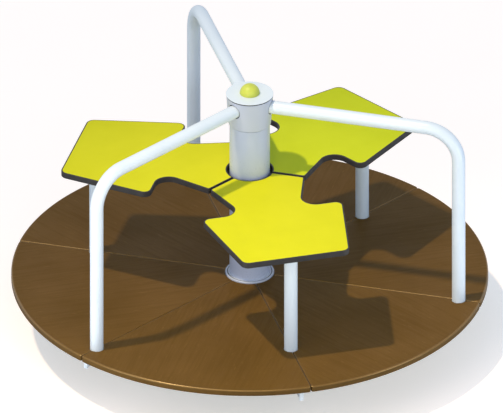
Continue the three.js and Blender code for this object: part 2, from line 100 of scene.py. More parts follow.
# For each lamp: its place (right, ahead, up) as the camera sees it, its size, power in watts and colour.
LAMPS = {
    "front_lamp": ((-0.20, -1.40, 1.25), 1.0, 7.3, (1.0, 0.91, 0.68)),
    "left_lamp": ((-1.12, -1.2, 0.48), 0.8, 5.0, (0.95, 1.0, 0.98)),
    "right_lamp": ((1.4, -0.95, 0.48), 0.8, 5.4, (0.95, 1.0, 0.98)),
}
LAMP_TARGET = Vector((0, 0, 0.3))


# ---- mesh tools: a part is (points, faces, slots), with one material slot number for each face ----
def round_corners(corners, step=FINE_STEP):
    """The points of a polygon of (x, y, radius) corners with its corners rounded."""
    points = []
    for i, (x, y, radius) in enumerate(corners):
        here = Vector((x, y))
        if radius == 0:
            points.append(here)
            continue
        back = (Vector(corners[i - 1][:2]) - here).normalized()
        ahead = (Vector(corners[(i + 1) % len(corners)][:2]) - here).normalized()
        half = back.angle(ahead) / 2
        centre = here + (back + ahead).normalized() * radius / math.sin(half)
        start = here + back * radius / math.tan(half) - centre
        end = here + ahead * radius / math.tan(half) - centre
        sweep = math.atan2(start.x * end.y - start.y * end.x, start.dot(end))
        steps = max(2, round(abs(sweep) / step))
        for k in range(steps + 1):
            points.append(centre + Matrix.Rotation(sweep * k / steps, 2) @ start)
    return points


def arc(radius, first, last, steps, centre=(0.0, 0.0)):
    """Points on a circle from one angle to another, in radians."""
    angles = [first + (last - first) * k / steps for k in range(steps + 1)]
    return [Vector(centre) + Vector((radius * math.cos(a), radius * math.sin(a))) for a in angles]


def shell(rings, cap_slots=(0, 0), capped=True):
    """A skin through rings of equally many points, with a flat cap at both ends."""
    size = len(rings[0])
    points = [Vector(p) for ring in rings for p in ring]
    faces = []
    for band in range(len(rings) - 1):
        for i in range(size):
            a = band * size + i
            b = band * size + (i + 1) % size
            faces.append((a, b, b + size, a + size))
    slots = [0] * len(faces)
    if capped:
        faces.append(tuple(reversed(range(size))))
        faces.append(tuple(range(len(points) - size, len(points))))
        slots += cap_slots
    return points, faces, slots


def moved_in(before, here, after, inset):
    """Where a polygon's corner goes when the edges beside it move inwards."""
    first = (here - before).normalized()
    second = (after - here).normalized()
    outwards = Vector((first.y + second.y, -first.x - second.x)).normalized()
    return here - outwards * inset / max(outwards.dot(Vector((first.y, -first.x))), 0.5)


def rounded_board(outline, low, high, top_radii, bottom_radii, cap_slots, steps=4, top_depth=1.0):
    """A flat board with rounded edges. Each point of its outline has its own radii.

    The top rounding goes down by top_depth times its radius.
    """
    size = len(outline)

    def ring(radii, turn, face, depth):
        points = []
        for i, here in enumerate(outline):
            inset = radii[i] * (1 - math.cos(turn))
            corner = moved_in(outline[i - 1], here, outline[(i + 1) % size], inset)
            points.append((corner.x, corner.y, face - depth * radii[i] * (1 - math.sin(turn))))
        return points

    turns = [math.pi / 2 * k / steps for k in range(steps + 1)]
    rings = [ring(bottom_radii, turn, low, -1) for turn in reversed(turns)]
    rings += [ring(top_radii, turn, high, top_depth) for turn in turns]
    return shell(rings, cap_slots=cap_slots)


def prism(outline, low, high):
    """An outline pushed straight up from one height to another."""
    return shell([[(p[0], p[1], z) for p in outline] for z in (low, high)])


def lathe(profile, sides=ROUND):
    """A (radius, height) outline turned about Z. It starts and ends on the axis, or closes on itself."""
    loop = list(profile) if profile[0][0] == 0 else [*profile, profile[0]]
    angles = [2 * math.pi * k / sides for k in range(sides)]
    rings = [[(r * math.cos(a), r * math.sin(a), z) for a in angles] for r, z in loop]
    return shell(rings, capped=False)


def ring_part(inner, outer, low, high, rounding=0.0):
    """A flat ring, with its outer edges rounded."""
    corners = [(inner, low, 0), (outer, low, rounding), (outer, high, rounding), (inner, high, 0)]
    return lathe([tuple(p) for p in round_corners(corners, COARSE_STEP)])


def bar(radius, low, high, sides=ROUND):
    """A plain upright round bar."""
    return lathe([(0, low), (radius, low), (radius, high), (0, high)], sides)


def round_plate(radius, low, high, rounding, steps=4, sides=ROUND):
    """A round plate with both of its edges rounded."""
    edge = arc(rounding, -math.pi / 2, 0, steps, (radius - rounding, low + rounding))
    edge += arc(rounding, 0, math.pi / 2, steps, (radius - rounding, high - rounding))
    return lathe([(0, low), *[tuple(p) for p in edge], (0, high)], sides)


def bead(radius, height, size, up=1):
    """A fillet weld's bead round a tube, in the corner between the tube and a plate."""
    proud, sunk = size * 0.9, size * 0.4
    profile = [(radius - size, height - up * sunk)]
    profile += [(radius + p.x, height + up * p.y) for p in arc(proud, 0, math.pi / 2, 4)]
    profile.append((radius - size, height + up * proud))
    return lathe(profile, TUBE_SIDES)


def box_part(x0, x1, y0, y1, z0, z1):
    return prism([(x0, y0), (x1, y0), (x1, y1), (x0, y1)], z0, z1)


def with_slot(part, slot):
    """The part with all of its faces in one material slot."""
    points, faces, slots = part
    return points, faces, [slot] * len(slots)


def moved(part, matrix):
    points, faces, slots = part
    return [matrix @ p for p in points], faces, slots


def turned(part, degrees):
    return moved(part, Matrix.Rotation(math.radians(degrees), 4, "Z"))


def shifted(part, x):
    return moved(part, Matrix.Translation((x, 0, 0)))


def sweep_tube(path, radius):
    """A round bar along a path of (x, z) points in the XZ plane."""
    circle = arc(radius, 0, 2 * math.pi, TUBE_SIDES)[:-1]
    rings = []
    for i, (x, z) in enumerate(path):
        before = Vector(path[max(i - 1, 0)])
        after = Vector(path[min(i + 1, len(path) - 1)])
        along = (after - before).normalized()
        rings.append([(x - along.y * p.x, p.y, z + along.x * p.x) for p in circle])
    return shell(rings)


def mesh_from(name, parts):
    """A mesh of parts. Each point keeps, as the attribute place, where it was built."""
    bm = bmesh.new()
    for points, faces, slots in parts:
        verts = [bm.verts.new(p) for p in points]
        for face, slot in zip(faces, slots):
            made = bm.faces.new([verts[i] for i in face])
            made.material_index = slot
        bmesh.ops.remove_doubles(bm, verts=verts, dist=1e-6)
    bmesh.ops.recalc_face_normals(bm, faces=bm.faces)
    mesh = bpy.data.meshes.new(name)
    bm.to_mesh(mesh)
    bm.free()
    mesh.shade_smooth()
    mesh.set_sharp_from_angle(angle=SMOOTH_ANGLE)
    place = mesh.attributes.new("place", "FLOAT_VECTOR", "POINT")
    place.data.foreach_set("vector", [value for vertex in mesh.vertices for value in vertex.co])
    return mesh


def piece(name, mesh, nodes, body, angle=0.0, bevel=0.0):
    """Shows a mesh, turned about the spin axis, in place of CAD nodes, and lets it ride on their body."""
    if angle:
        mesh = mesh.copy()
        mesh.transform(Matrix.Rotation(math.radians(angle), 4, "Z"))
    obj = bpy.data.objects.new(name, mesh)
    bpy.context.scene.collection.objects.link(obj)
    if bevel:
        edge = obj.modifiers.new("soft_edges", "BEVEL")
        edge.width = bevel
        edge.segments = 2
        edge.limit_method = "ANGLE"
        edge.angle_limit = BEVEL_ANGLE
    flat = obj.modifiers.new("flat_faces", "WEIGHTED_NORMAL")
    flat.keep_sharp = True
    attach(obj, body)
    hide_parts(*nodes)
    return obj


def dressed(name, parts, materials):
    """A mesh made of parts, with its materials."""
    mesh = mesh_from(name, parts)
    for material in materials:
        mesh.materials.append(material)
    return mesh


def drilled(mesh, cutters):
    """The mesh with round cutters taken out of it."""
    scene = bpy.context.scene
    body = bpy.data.objects.new("drill_body", mesh)
    tool = bpy.data.objects.new("drill_tool", mesh_from("drill_tool", cutters))
    for obj in (body, tool):
        scene.collection.objects.link(obj)
    cut = body.modifiers.new("cut", "BOOLEAN")
    cut.operation = "DIFFERENCE"
    cut.solver = "EXACT"
    cut.object = tool
    bpy.context.view_layer.update()
    result = bpy.data.meshes.new_from_object(body.evaluated_get(bpy.context.evaluated_depsgraph_get()))
    for obj in (body, tool):
        bpy.data.objects.remove(obj)
    result.set_sharp_from_angle(angle=SMOOTH_ANGLE)
    return result


def spoke(node):
    """The direction of a CAD node from the spin axis, to the nearest 30 degrees."""
    low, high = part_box(node)
    return 30 * round(math.degrees(math.atan2(low.y + high.y, low.x + high.x)) / 30)


# ---- materials ----
def colour(red, green, blue):
    """Linear RGBA from an 8-bit sRGB colour."""
    channels = [c / 255 for c in (red, green, blue)]
    return (*[c / 12.92 if c <= 0.04045 else ((c + 0.055) / 1.055) ** 2.4 for c in channels], 1.0)


class Look:
    """A node material built round one Principled shader. Its textures are laid out in metres."""

    def __init__(self, name, built=True):
        """The textures use the places at which a mesh was built, or the object's coordinates."""
        self.material = bpy.data.materials.new(name)
        self.material.use_nodes = True
        self.tree = self.material.node_tree
        self.tree.nodes.clear()
        self.shader = self.node("ShaderNodeBsdfPrincipled")
        output = self.node("ShaderNodeOutputMaterial")
        self.tree.links.new(self.shader.outputs[0], output.inputs["Surface"])
        if built:
            self.place = self.node("ShaderNodeAttribute", attribute_name="place").outputs["Vector"]
        else:
            self.place = self.node("ShaderNodeTexCoord").outputs["Object"]
        self.normal = None

    def node(self, kind, inputs=None, **settings):
        made = self.tree.nodes.new(kind)
        for key, value in settings.items():
            setattr(made, key, value)
        for key, value in (inputs or {}).items():
            self.feed(made.inputs[key], value)
        return made

    def feed(self, socket, value):
        if isinstance(value, bpy.types.NodeSocket):
            self.tree.links.new(value, socket)
        else:
            socket.default_value = value

    def mapped(self, scale=(1, 1, 1), turn=0.0):
        inputs = {"Vector": self.place, "Scale": scale, "Rotation": (0, 0, math.radians(turn))}
        return self.node("ShaderNodeMapping", inputs).outputs[0]

    def noise(self, scale, detail, where=None):
        inputs = {"Vector": where or self.place, "Scale": scale, "Detail": detail}
        return self.node("ShaderNodeTexNoise", inputs).outputs["Fac"]

    def wave(self, scale, direction, where=None, distortion=0.0):
        inputs = {"Vector": where or self.place, "Scale": scale, "Distortion": distortion}
        return self.node("ShaderNodeTexWave", inputs, bands_direction=direction).outputs["Fac"]

    def maths(self, operation, first, second):
        return self.node("ShaderNodeMath", {0: first, 1: second}, operation=operation).outputs[0]

    def span(self, value, low, high, to_low=0.0, to_high=1.0):
        """Maps low..high to to_low..to_high, and holds the ends."""
        inputs = {"Value": value, "From Min": low, "From Max": high, "To Min": to_low, "To Max": to_high}
        return self.node("ShaderNodeMapRange", inputs).outputs[0]

    def mix(self, share, first, second):
        inputs = {0: share, 6: first, 7: second}
        return self.node("ShaderNodeMix", inputs, data_type="RGBA").outputs[2]

    def bump(self, height, strength, distance):
        """Adds a bump to those already there."""
        inputs = {"Height": height, "Strength": strength, "Distance": distance}
        if self.normal is not None:
            inputs["Normal"] = self.normal
        self.normal = self.node("ShaderNodeBump", inputs).outputs[0]

    def finish(self, **values):
        """Sets the shader's inputs, with spaces as underscores, and returns the material."""
        for key, value in values.items():
            self.feed(self.shader.inputs[key.replace("_", " ")], value)
        if self.normal is not None:
            self.feed(self.shader.inputs["Normal"], self.normal)
        return self.material


def powder_coat(name, base, shade, roughness):
    """Smooth powder coat: faint cloudiness and an orange-peel skin."""
    look = Look(name)
    clouds = look.noise(7, 4)
    fine = look.noise(160, 2)
    tone = look.mix(look.span(clouds, 0.35, 0.65), base, shade)
    look.bump(look.noise(650, 2), 0.10, 0.0004)
    look.bump(look.noise(90, 2), 0.05, 0.0008)
    gloss = look.span(look.maths("ADD", clouds, fine), 0.7, 1.3, roughness - 0.05, roughness + 0.07)
    return look.finish(
        Base_Color=tone, Roughness=gloss, Specular_IOR_Level=0.45, Coat_Weight=0.25, Coat_Roughness=0.18
    )


def deck_film():
    """Brown phenolic film with a pressed wire-mesh print, long streaks, mottling and a few scuffs."""
    look = Look("deck_film")
    clouds = look.noise(4, 5)
    streaks = look.noise(9, 4, look.mapped((0.6, 12, 1)))
    tone = look.mix(look.span(clouds, 0.3, 0.7), colour(103, 73, 26), colour(92, 65, 22))
    tone = look.mix(look.span(streaks, 0.45, 0.7, 0, 0.35), tone, colour(81, 57, 19))
    scuffs = look.noise(26, 8, look.mapped((1, 5, 1), 35))
    tone = look.mix(look.span(scuffs, 0.62, 0.72, 0, 0.25), tone, colour(130, 101, 58))
    slanted = look.mapped(turn=45)
    print_lines = look.maths("MAXIMUM", look.wave(84, "X", slanted), look.wave(84, "Y", slanted))
    tone = look.mix(look.span(print_lines, 0.7, 1.0, 0, 0.22), tone, colour(74, 51, 17))
    look.bump(print_lines, 0.30, 0.0006)
    look.bump(look.noise(420, 3), 0.12, 0.0005)
    gloss = look.span(look.maths("ADD", clouds, streaks), 0.7, 1.3, 0.44, 0.62)
    return look.finish(Base_Color=tone, Roughness=gloss, Specular_IOR_Level=0.1)


def varnished_edge():
    """The rounded arris of the deck boards: dark stain under a hard, amber varnish."""
    look = Look("varnished_edge")
    clouds = look.noise(11, 4)
    tone = look.mix(look.span(clouds, 0.3, 0.7), colour(106, 76, 29), colour(95, 67, 25))
    tone = look.mix(look.span(look.noise(90, 5), 0.55, 0.75, 0, 0.3), tone, colour(62, 43, 17))
    look.bump(look.noise(300, 3), 0.08, 0.0004)
    gloss = look.span(clouds, 0.3, 0.7, 0.21, 0.26)
    amber = (1.0, 0.72, 0.40, 1)
    return look.finish(Base_Color=tone, Roughness=gloss, Specular_IOR_Level=1.0, Specular_Tint=amber)


def sealed_edge(name, light, dark):
    """Cut plywood under dark brown sealer, with the plies just showing through."""
    look = Look(name)
    plies = look.wave(118, "Z", distortion=0.6)
    clouds = look.noise(14, 5, look.mapped((1, 1, 4)))
    tone = look.mix(look.span(clouds, 0.3, 0.7), light, dark)
    tone = look.mix(look.span(plies, 0.6, 1.0, 0, 0.3), tone, colour(66, 47, 20))
    look.bump(plies, 0.15, 0.0005)
    look.bump(look.noise(300, 3), 0.12, 0.0005)
    gloss = look.span(clouds, 0.3, 0.7, 0.5, 0.62)
    return look.finish(Base_Color=tone, Roughness=gloss, Specular_IOR_Level=0.12)


def seat_skin(name, light, dark):
    """Coloured polyethylene board: a matt grain, faint clouding and hairline scratches."""
    look = Look(name)
    clouds = look.noise(6, 4)
    tone = look.mix(look.span(clouds, 0.3, 0.7), light, dark)
    scratch = look.span(look.noise(30, 9, look.mapped((1, 22, 1), 28)), 0.66, 0.72, 0, 0.25)
    tone = look.mix(scratch, tone, colour(230, 228, 78))
    speckle = look.span(look.noise(900, 2), 0.6, 0.75, 0, 0.12)
    tone = look.mix(speckle, tone, colour(184, 183, 17))
    look.bump(look.noise(1100, 3), 0.16, 0.0004)
    look.bump(look.noise(60, 2), 0.04, 0.001)
    gloss = look.span(clouds, 0.3, 0.7, 0.42, 0.54)
    return look.finish(Base_Color=tone, Roughness=gloss, Specular_IOR_Level=0.12)


def seat_core():
    """The charcoal core that the routed edge lays bare, with the cutter's fine lines along it."""
    look = Look("seat_core")
    lines = look.wave(360, "Z", distortion=1.2)
    clouds = look.noise(35, 4)
    tone = look.mix(look.span(clouds, 0.3, 0.7), colour(43, 39, 40), colour(34, 31, 33))
    tone = look.mix(look.span(look.noise(800, 2), 0.6, 0.7, 0, 0.3), tone, colour(66, 61, 62))
    look.bump(lines, 0.12, 0.0003)
    look.bump(look.noise(500, 3), 0.15, 0.0004)
    gloss = look.span(clouds, 0.3, 0.7, 0.46, 0.6)
    return look.finish(Base_Color=tone, Roughness=gloss, Specular_IOR_Level=0.4)


def dome_plastic():
    """Yellow-green moulded cap, satin over a faint ripple."""
    look = Look("dome_plastic")
    clouds = look.noise(30, 4)
    tone = look.mix(look.span(clouds, 0.3, 0.7), colour(205, 210, 80), colour(196, 203, 70))
    look.bump(look.noise(240, 2), 0.08, 0.0005)
    return look.finish(
        Base_Color=tone,
        Roughness=look.span(clouds, 0.3, 0.7, 0.42, 0.52),
        Subsurface_Weight=0.08,
        Subsurface_Scale=0.004,
        Coat_Weight=0.2,
        Coat_Roughness=0.35,
    )


def galvanised():
    """Hot-dip zinc: spangles of differing grey with a soft, uneven skin."""
    look = Look("galvanised")
    wander = look.node("ShaderNodeTexNoise", {"Vector": look.place}).outputs["Color"]
    warped = look.mix(0.02, look.place, wander)
    cells = look.node("ShaderNodeTexVoronoi", {"Vector": warped, "Scale": 85.0}).outputs["Color"]
    grey = look.node("ShaderNodeRGBToBW", {"Color": cells}).outputs[0]
    clouds = look.noise(14, 5)
    tone = look.mix(look.span(grey, 0.2, 0.8), colour(158, 163, 168), colour(192, 196, 199))
    tone = look.mix(look.span(clouds, 0.45, 0.7, 0, 0.4), tone, colour(150, 154, 158))
    look.bump(look.noise(220, 4), 0.15, 0.0006)
    gloss = look.span(look.maths("ADD", grey, clouds), 0.6, 1.5, 0.36, 0.62)
    return look.finish(Base_Color=tone, Roughness=gloss, Metallic=0.45)


def plated_steel():
    """Bright zinc-plated fasteners with fine wear."""
    look = Look("plated_steel", built=False)
    clouds = look.noise(120, 4)
    tone = look.mix(look.span(clouds, 0.3, 0.7), colour(196, 198, 200), colour(168, 170, 172))
    look.bump(look.noise(1500, 3), 0.1, 0.0002)
    gloss = look.span(clouds, 0.3, 0.7, 0.24, 0.42)
    return look.finish(Base_Color=tone, Roughness=gloss, Metallic=1.0)


def turned_steel():
    """Turned and ground steel: close rings left by the tool, and a thin film of oil."""
    look = Look("turned_steel", built=False)
    lines = look.wave(520, "Z", distortion=0.4)
    clouds = look.noise(40, 4)
    tone = look.mix(look.span(clouds, 0.3, 0.7), colour(182, 184, 188), colour(150, 150, 150))
    look.bump(lines, 0.12, 0.0002)
    look.bump(look.noise(900, 3), 0.06, 0.0002)
    gloss = look.span(clouds, 0.3, 0.7, 0.2, 0.36)
    return look.finish(Base_Color=tone, Roughness=gloss, Metallic=1.0, Coat_Weight=0.1)


def black_rubber():
    """Moulded nitrile rubber with a dusty bloom."""
    look = Look("black_rubber", built=False)
    clouds = look.noise(70, 4)
    tone = look.mix(look.span(clouds, 0.4, 0.75), colour(34, 34, 35), colour(66, 64, 62))
    look.bump(look.noise(900, 3), 0.2, 0.0004)
    return look.finish(Base_Color=tone, Roughness=look.span(clouds, 0.3, 0.7, 0.6, 0.85))


WHITE = powder_coat("white_coat", colour(227, 235, 246), colour(222, 231, 243), 0.33)
HUB_GREY = powder_coat("hub_coat", colour(195, 200, 221), colour(189, 195, 217), 0.4)
COLUMN_GREY = powder_coat("column_coat", colour(193, 200, 226), colour(187, 195, 222), 0.30)
# A dark grey coat used as painted shade: on the hidden seat ring seen through the gaps round the column,
# and on the socket walls in the head.
PAINTED_SHADE_GREY = powder_coat("painted_shade_coat", colour(52, 52, 55), colour(44, 44, 47), 0.42)
FILM, ARRIS = deck_film(), varnished_edge()
RIM = sealed_edge("deck_rim", colour(99, 71, 29), colour(88, 63, 25))
# The seam faces are sealed darker than the rim: painted shade in the narrow gaps between the boards.
PAINTED_SHADE_SEAM = sealed_edge("deck_seam_painted_shade", colour(78, 56, 26), colour(64, 46, 22))
SKIN = seat_skin("seat_skin", colour(219, 213, 17), colour(211, 206, 19))
# The second seat's skin is a greener, darker copy: painted shade for the cooler, weaker light on that
# seat.
PAINTED_SHADE_SKIN = seat_skin("painted_shade_seat_skin", colour(208, 214, 19), colour(200, 207, 21))
CORE, DOME = seat_core(), dome_plastic()
ZINC, PLATED, STEEL, RUBBER = galvanised(), plated_steel(), turned_steel(), black_rubber()


# ---- deck ----
def seam_edge(side, reach, inner, outer):
    """A deck board's edge along a seam, from its outer to its inner end, with a half-round notch."""
    ray = Vector((math.cos(math.radians(30)), side * math.sin(math.radians(30))))
    inwards = Vector((ray.y * side, -ray.x * side))
    notch = TUBE_RADIUS + NOTCH_GAP
    start = math.asin(HALF_SEAM / notch)
    points = [ray * (reach + p.x) + inwards * p.y for p in arc(notch, start, math.pi - start, 14)]
    along = [math.sqrt(end**2 - HALF_SEAM**2) for end in (outer, inner)]
    ends = [ray * distance + inwards * HALF_SEAM for distance in along]
    return [ends[0], *points, ends[1]]


def deck_board(rail_side):
    """A 60 degree board round +X, with a handrail's notch on one side and a seat post's on the other."""
    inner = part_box("deck_collar")[1].x + BORE_GAP
    reaches = {rail_side: RAIL_REACH, -rail_side: POST_REACH}
    upper, lower = (seam_edge(side, reaches[side], inner, DECK_RADIUS) for side in (1, -1))
    outer_turn = math.atan2(upper[0].y, upper[0].x)
    inner_turn = math.atan2(upper[-1].y, upper[-1].x)
    rim = arc(DECK_RADIUS, -outer_turn, outer_turn, 60)
    bore = arc(inner, inner_turn, -inner_turn, 10)
    rest = [*upper[1:-1], *bore, *reversed(lower[1:-1])]
    corners = [(*rim[0], RIM_CORNER), *[(*p, 0) for p in rim[1:-1]], (*rim[-1], RIM_CORNER)]
    corners += [(*p, 0) for p in rest]
    outline = round_corners(corners, RIM_STEP)
    rim_share = [min(max((p.length - DECK_RADIUS) / RIM_CORNER + 1, 0), 1) for p in outline]
    points, faces, slots = rounded_board(
        outline,
        DECK_LOW,
        DECK_HIGH,
        [BOARD_ARRIS + (RIM_ROUNDING - BOARD_ARRIS) * share for share in rim_share],
        [BOARD_FOOT * (1 + share) for share in rim_share],
        (0, 0),
        steps=BOARD_STEPS,
    )
    arris_slot, rim_slot, seam_slot = 1, 2, 3
    for i in range(len(faces) - 2):
        band, place = divmod(i, len(outline))
        side = rim_slot if rim_share[place] > 0.5 else seam_slot
        slots[i] = arris_slot if band > BOARD_STEPS else side
    return points, faces, slots


def build_deck():
    materials = (FILM, ARRIS, RIM, PAINTED_SHADE_SEAM)
    meshes = {side: dressed("deck_board", [deck_board(side)], materials) for side in (1, -1)}
    rail_spokes = {spoke(f"handrail_{k}") % 360 for k in (1, 2, 3)}
    for k in range(1, 7):
        angle = spoke(f"deck_panel_{k}")
        side = 1 if (angle + 30) % 360 in rail_spokes else -1
        piece(f"deck_board_{k}", meshes[side], [f"deck_panel_{k}"], "rotor", angle)


# ---- seats ----
def seat_outline():
    """An arrow head outside, a waist, and flanks that meet the next seat on the 60 degree rays.

    Each corner of a side is (x, y, rounding).
    """
    half_seam, hole, ray_reach = 2.5 * MM, 72 * MM, 179 * MM
    ray_end = math.radians(60) - math.asin(half_seam / ray_reach)
    hole_end = math.radians(60) - math.asin(half_seam / hole)
    side = [
        (572 * MM, 172.3 * MM, 26 * MM),
        (265.5 * MM, 231 * MM, 24 * MM),
        (265.5 * MM, 94.2 * MM, 44 * MM),
        (ray_reach * math.cos(ray_end), ray_reach * math.sin(ray_end), 10 * MM),
    ]
    bore = [(*p, 0) for p in arc(hole, hole_end, -hole_end, 24)]
    return round_corners(side + bore + [(x, -y, r) for x, y, r in reversed(side)])


def build_seats():
    outline = seat_outline()
    top = [SEAT_ROUNDING] * len(outline)
    bottom = [SEAT_FOOT] * len(outline)
    board = rounded_board(outline, SEAT_LOW, SEAT_HIGH, top, bottom, (1, 1), top_depth=0.3)
    skins = (SKIN, PAINTED_SHADE_SKIN, SKIN)  # one board's skin is greener and darker as painted shade
    for k, skin in enumerate(skins, start=1):
        mesh = dressed("seat_board", [board], (CORE, skin))
        node = f"seat_panel_{k}"
        piece(f"seat_board_{k}", mesh, [node], "rotor", spoke(node))


def build_seat_posts():
    plate_low, plate_high = SEAT_LOW - GAP - 6 * MM, SEAT_LOW - GAP
    tube = bar(TUBE_RADIUS, DECK_LOW, plate_low + MM, TUBE_SIDES)
    plate = round_plate(60 * MM, plate_low, plate_high, 1.2 * MM)
    weld = bead(TUBE_RADIUS, plate_low, 4.5 * MM, -1)
    mesh = dressed("seat_post", [shifted(part, POST_REACH) for part in (tube, plate, weld)], (WHITE,))
    for k in (1, 2, 3):
        node = f"seat_post_{k}"
        piece(f"seat_post_tube_{k}", mesh, [node], "rotor", spoke(node))


# ---- column, head and handrails ----
def build_handrails():
    straight = RAIL_HEIGHT - RAIL_BEND
    centre = (RAIL_REACH - RAIL_BEND, straight)
    path = [(RAIL_REACH, DECK_LOW)]
    path += [tuple(p) for p in arc(RAIL_BEND, 0, math.pi / 2, 24, centre)]
    path += [(RAIL_INNER, RAIL_HEIGHT)]
    mesh = dressed("handrail", [sweep_tube(path, TUBE_RADIUS)], (WHITE,))
    for k in (1, 2, 3):
        node = f"handrail_{k}"
        piece(f"handrail_tube_{k}", mesh, [node], "rotor", spoke(node))


def build_column():
    low, high = (corner.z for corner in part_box("hub_column"))
    tube = ring_part(COLUMN_RADIUS - 4 * MM, COLUMN_RADIUS, low, high, 1.2 * MM)
    mesh = dressed("column", [tube], (COLUMN_GREY,))
    piece("hub_column_tube", mesh, ["hub_column"], "rotor")


def build_collar():
    """A flange and a cover ring, with a black rubber ring in the groove between them whose black is
    painted shade along the groove.
    """
    low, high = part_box("deck_collar")
    bore = COLUMN_RADIUS + GAP
    lip = high.x - 5.5 * MM
    groove = 2.4 * MM
    flange_top = high.z - 1.2 * MM
    groove_floor = high.z - 3 * MM
    flange_corners = [
        (bore, low.z, 0),
        (high.x, low.z, 0.5 * MM),
        (high.x, flange_top, 1.4 * MM),
        (lip, flange_top, 0.3 * MM),
        (lip, groove_floor, 0),
        (bore, groove_floor, 0),
    ]
    flange = lathe([tuple(p) for p in round_corners(flange_corners, MIDDLE_STEP)])
    # painted shade: a black ring fills the groove so it reads as a dark line
    shade_seal = with_slot(ring_part(bore, lip - 0.1 * MM, groove_floor - 0.5 * MM, high.z - 2 * MM), 1)
    cover = ring_part(bore, lip - groove, groove_floor - 0.4 * MM, high.z, 0.7 * MM)
    mesh = dressed("collar", [flange, shade_seal, cover], (HUB_GREY, RUBBER))
    piece("column_collar", mesh, ["deck_collar"], "rotor")


def build_head():
    low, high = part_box("hub_head")
    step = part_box("hub_column")[1].z + GAP + 2.4 * MM  # leaves a shadow line over the column's end
    spigot, bore, foot = 59.2 * MM, 35 * MM, 67 * MM
    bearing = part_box("upper_bearing_outer")[1]
    seat, seat_top = bearing.x + GAP, bearing.z + GAP
    corners = [
        (bore, seat_top, 0),
        (seat, seat_top, 0),
        (seat, low.z, 0.8 * MM),
        (spigot, low.z, 0.8 * MM),
        (spigot, step, 0),
        (foot, step, 1.4 * MM),
        (high.x - 0.2 * MM, high.z, 1.8 * MM),
        (bore, high.z, 0),
    ]
    body = lathe([tuple(p) for p in round_corners(corners, MIDDLE_STEP)])
    casting = dressed("hub_head", [body], (HUB_GREY, PAINTED_SHADE_GREY))
    reach, radius = 120 * MM, TUBE_RADIUS + SOCKET_GAP
    circle = arc(radius, 0, 2 * math.pi, TUBE_SIDES)[:-1]
    ends = (RAIL_INNER - 2 * MM, reach)
    socket = shell([[(x, p.x, RAIL_HEIGHT + p.y) for p in circle] for x in ends])
    # The socket walls take the second slot, the dark painted-shade coat, so the gaps round the handrails
    # read dark.
    sockets = [turned(with_slot(socket, 1), spoke(f"handrail_{k}")) for k in (1, 2, 3)]
    piece("hub_head_casting", drilled(casting, sockets), ["hub_head"], "rotor")


def build_cap():
    """The top plate carries the dome. A black rubber ring sunk under its edge darkens the line below the
    edge as painted shadow.
    """
    low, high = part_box("top_plate")
    lip, step, bore = 1.6 * MM, 1.6 * MM, 17.5 * MM
    plate = ring_part(bore, high.x, high.z - lip, high.z, 0.7 * MM)
    # painted shadow: a black ring under the plate's edge
    shadow_ring = with_slot(ring_part(bore, high.x - step, low.z, high.z - lip + 0.2 * MM), 1)
    mesh = dressed("top_plate", [plate, shadow_ring], (WHITE, RUBBER))
    piece("hub_top_plate", mesh, ["top_plate"], "rotor")
    low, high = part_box("dome_cap")
    radius, foot = high.x, high.z - high.x
    stem = bore - GAP
    curve = arc(radius, math.radians(2), math.pi / 2, 20, (0, foot))
    profile = [(0, low.z), (stem, low.z), (stem, foot), (radius - 0.6 * MM, foot)]
    profile += [*[tuple(p) for p in curve[:-1]], (0, high.z)]
    piece("hub_dome", dressed("dome", [lathe(profile)], (DOME,)), ["dome_cap"], "rotor")


# ---- under the deck ----
def arm():
    """One rolled angle section, with its root and toes rounded, along +X."""
    half = ARM_WIDTH / 2
    low = FRAME_HIGH - ARM_WIDTH
    outline = round_corners(
        [
            (-half, low, 0.6 * MM),
            (ARM_WALL - half, low, 3.2 * MM),
            (ARM_WALL - half, FRAME_HIGH - ARM_WALL, 6 * MM),
            (half, FRAME_HIGH - ARM_WALL, 3.2 * MM),
            (half, FRAME_HIGH, 0.6 * MM),
            (-half, FRAME_HIGH, 1.5 * MM),
        ],
        COARSE_STEP,
    )
    return shell([[(x, p.x, p.y) for p in outline] for x in (COLUMN_RADIUS + 3 * MM, ARM_END)])


def end_plate():
    """A small plate across the end of an arm's upright leg."""
    leg = -ARM_WIDTH / 2
    near, far = ARM_END - 5 * MM, ARM_END + 0.5 * MM
    return box_part(near, far, leg - 3 * MM, leg + 11 * MM, FRAME_HIGH - ARM_WIDTH, FRAME_HIGH - MM)


def build_frame():
    sleeve_radius, flange_radius = 72.5 * MM, 150 * MM
    bore = COLUMN_RADIUS + GAP
    flange_top = FRAME_LOW + 8.5 * MM
    brace_low = FRAME_HIGH - 40 * MM
    chord = BRACE_REACH * math.tan(math.radians(30)) - 4 * MM
    brace = box_part(BRACE_REACH, BRACE_REACH + ARM_WALL, -chord, chord, brace_low, FRAME_HIGH - 0.2 * MM)
    parts = [turned(part, angle) for part in (arm(), end_plate()) for angle in range(30, 390, 60)]
    parts += [turned(brace, angle) for angle in range(0, 360, 60)]
    parts.append(ring_part(bore, sleeve_radius, FRAME_LOW + 7 * MM, FRAME_HIGH - 0.1 * MM, 0.6 * MM))
    parts.append(ring_part(bore, flange_radius, FRAME_LOW, flange_top, 1.2 * MM))
    parts.append(bead(sleeve_radius, flange_top, 5 * MM))
    mesh = dressed("deck_frame", parts, (WHITE,))
    piece("deck_frame_weldment", mesh, ["deck_frame"], "rotor", bevel=0.6 * MM)


